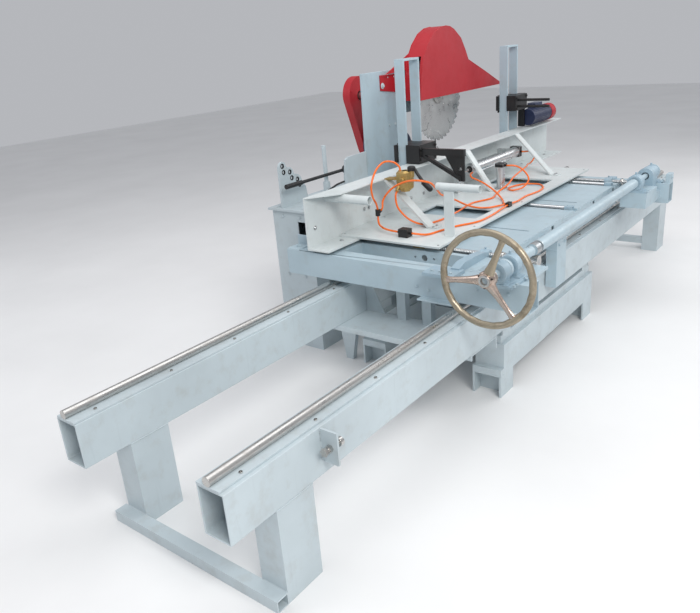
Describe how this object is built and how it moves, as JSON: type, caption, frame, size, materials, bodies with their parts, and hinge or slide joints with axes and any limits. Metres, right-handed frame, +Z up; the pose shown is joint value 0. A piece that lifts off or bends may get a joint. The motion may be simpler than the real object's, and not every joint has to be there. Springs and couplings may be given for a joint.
{
  "type": "sliding table saw",
  "caption": "Sliding table saw for logs: rail bed, rolling carriage, handwheel-driven cross table with fence and clamps, and a saw head with stacked blades under a hood.",
  "frame": {"origin": "on the floor under the near foot tube's centre line, midway between the rails", "axes": "+Y along the rails away from the near end, +X towards the handwheel side, +Z up"},
  "size_m": [2.083, 4.44, 1.662],
  "materials": {
    "paint_grey": "semi-gloss enamel",
    "paint_blue": "semi-gloss enamel",
    "paint_cream": "semi-gloss enamel",
    "paint_red": "gloss enamel",
    "paint_black": "satin",
    "cast_paint": "painted casting",
    "steel_bright": "machined",
    "chrome_rod": "polished",
    "blade_steel": "ground",
    "wheel_bronze": "bronze paint, worn",
    "brass": "cast",
    "motor_blue": "painted",
    "rubber": "matte",
    "hose_orange": "extruded",
    "fitting_black": "moulded",
    "cylinder_alu": "anodised"
  },
  "bodies": {
    "base": {"rail_beams": "paint_grey", "rail_strips": "paint_grey", "guide_bars": "steel_bright", "rail_screws": "steel_bright", "rail_legs": "paint_grey", "stop_bracket": "paint_grey", "mid_cross_channel": "paint_grey", "base_frame": "paint_grey", "saw_cabinet": "paint_grey", "cabinet_top": "paint_grey", "quadrant_plate": "paint_grey", "blade_column": "paint_blue", "spindle_housings": "cast_paint", "blade_hood": "paint_red", "belt_guards": "paint_red", "blade_motors": "motor_blue", "drive_belts": "rubber"},
    "carriage": {"near_crossbeam": "paint_blue", "far_crossbeam": "paint_blue", "side_beams": "paint_blue", "deck_plates": "paint_blue", "guide_rods": "chrome_rod", "bearing_castings": "cast_paint", "retainer_post": "paint_blue", "roller_axles": "steel_bright"},
    "front_left_roller": {"front_left_roller": "steel_bright"},
    "front_right_roller": {"front_right_roller": "steel_bright"},
    "rear_left_roller": {"rear_left_roller": "steel_bright"},
    "rear_right_roller": {"rear_right_roller": "steel_bright"},
    "link_shaft": {"handwheel": "wheel_bronze", "link_shaft": "paint_blue"},
    "near_lead_screw": {"near_lead_screw": "steel_bright"},
    "far_lead_screw": {"far_lead_screw": "steel_bright"},
    "table": {"table_frame": "paint_cream", "fence": "paint_cream", "fence_braces": "paint_cream", "push_tubes": "paint_cream", "clamp_posts": "paint_blue", "lead_nuts": "brass", "clamp_cylinder": "cylinder_alu", "lock_cylinder": "cylinder_alu", "control_valve": "brass", "hose_fittings": "fitting_black", "valve_hose": "hose_orange", "branch_hose": "hose_orange", "supply_hose": "hose_orange", "cylinder_hose": "hose_orange", "port_hose": "hose_orange"},
    "near_clamp": {"near_clamp_block": "paint_black"},
    "far_clamp": {"far_clamp_block": "paint_black", "far_clamp_motor": "motor_blue"},
    "push_rod": {"push_rod": "chrome_rod"},
    "valve_lever": {"valve_lever": "paint_black"},
    "upper_arbor": {"upper_blade": "blade_steel", "upper_spindle": "steel_bright"},
    "lower_arbor": {"lower_blade": "blade_steel", "lower_spindle": "steel_bright"},
    "upper_rotor": {"upper_motor_pulley": "steel_bright"},
    "lower_rotor": {"lower_motor_pulley": "steel_bright"},
    "brake_lever": {"brake_lever": "paint_black"}
  },
  "joints": [
    {"name": "carriage_slide", "type": "slide", "parent": "base", "child": "carriage", "axis": [0, 1, 0], "range_m": [-1.68, 0.9]},
    {"name": "front_left_roller_spin", "type": "hinge", "parent": "carriage", "child": "front_left_roller", "pos_m": [-0.363, 1.6, 0.586], "axis": [1, 0, 0], "continuous": true},
    {"name": "front_right_roller_spin", "type": "hinge", "parent": "carriage", "child": "front_right_roller", "pos_m": [0.347, 1.6, 0.586], "axis": [1, 0, 0], "continuous": true},
    {"name": "rear_left_roller_spin", "type": "hinge", "parent": "carriage", "child": "rear_left_roller", "pos_m": [-0.363, 3.15, 0.586], "axis": [1, 0, 0], "continuous": true},
    {"name": "rear_right_roller_spin", "type": "hinge", "parent": "carriage", "child": "rear_right_roller", "pos_m": [0.347, 3.15, 0.586], "axis": [1, 0, 0], "continuous": true},
    {"name": "handwheel_turn", "type": "hinge", "parent": "carriage", "child": "link_shaft", "pos_m": [0.537, 1.119, 0.743], "axis": [0, 1, 0], "range_deg": [-1080, 3600]},
    {"name": "near_screw_turn", "type": "hinge", "parent": "carriage", "child": "near_lead_screw", "pos_m": [0, 1.555, 0.69], "axis": [1, 0, 0], "range_deg": [-1081, 3601]},
    {"name": "far_screw_turn", "type": "hinge", "parent": "carriage", "child": "far_lead_screw", "pos_m": [0, 3.2, 0.69], "axis": [1, 0, 0], "range_deg": [-1081, 3601]},
    {"name": "table_cross_slide", "type": "slide", "parent": "carriage", "child": "table", "axis": [1, 0, 0], "range_m": [-0.0482, 0.1602]},
    {"name": "near_clamp_slide", "type": "slide", "parent": "table", "child": "near_clamp", "axis": [0, 0, 1], "range_m": [0, 0.4]},
    {"name": "far_clamp_slide", "type": "slide", "parent": "table", "child": "far_clamp", "axis": [0, 0, 1], "range_m": [0, 0.27]},
    {"name": "push_rod_slide", "type": "slide", "parent": "table", "child": "push_rod", "axis": [0, 1, 0], "range_m": [-0.24, 0]},
    {"name": "valve_lever_turn", "type": "hinge", "parent": "table", "child": "valve_lever", "pos_m": [-0.2, 1.764, 1], "axis": [0, 0, 1], "range_deg": [-25, 25]},
    {"name": "upper_blade_spin", "type": "hinge", "parent": "base", "child": "upper_arbor", "pos_m": [-0.674, 2.832, 1.265], "axis": [1, 0, 0], "continuous": true},
    {"name": "lower_blade_spin", "type": "hinge", "parent": "base", "child": "lower_arbor", "pos_m": [-0.674, 2.68, 0.68], "axis": [1, 0, 0], "continuous": true},
    {"name": "upper_motor_spin", "type": "hinge", "parent": "base", "child": "upper_rotor", "pos_m": [-1.25, 2.915, 0.915], "axis": [1, 0, 0], "continuous": true},
    {"name": "lower_motor_spin", "type": "hinge", "parent": "base", "child": "lower_rotor", "pos_m": [-1.05, 2.9, 0.262], "axis": [1, 0, 0], "continuous": true},
    {"name": "brake_lever_swing", "type": "hinge", "parent": "base", "child": "brake_lever", "pos_m": [-0.826, 2.03, 0.93], "axis": [1, 0, 0], "range_deg": [-25, 10]}
  ],
  "couplings": [
    {"joint": "front_left_roller_spin", "follows": "carriage_slide", "rad_per_m": -35.714},
    {"joint": "front_right_roller_spin", "follows": "carriage_slide", "rad_per_m": -35.714},
    {"joint": "rear_left_roller_spin", "follows": "carriage_slide", "rad_per_m": -35.714},
    {"joint": "rear_right_roller_spin", "follows": "carriage_slide", "rad_per_m": -35.714},
    {"joint": "near_screw_turn", "follows": "handwheel_turn", "ratio": 1},
    {"joint": "far_screw_turn", "follows": "handwheel_turn", "ratio": 1},
    {"joint": "table_cross_slide", "follows": "handwheel_turn", "m_per_rad": 0.0025465},
    {"joint": "upper_motor_spin", "follows": "upper_blade_spin", "ratio": 1.5517},
    {"joint": "lower_motor_spin", "follows": "lower_blade_spin", "ratio": 1.5517}
  ]
}
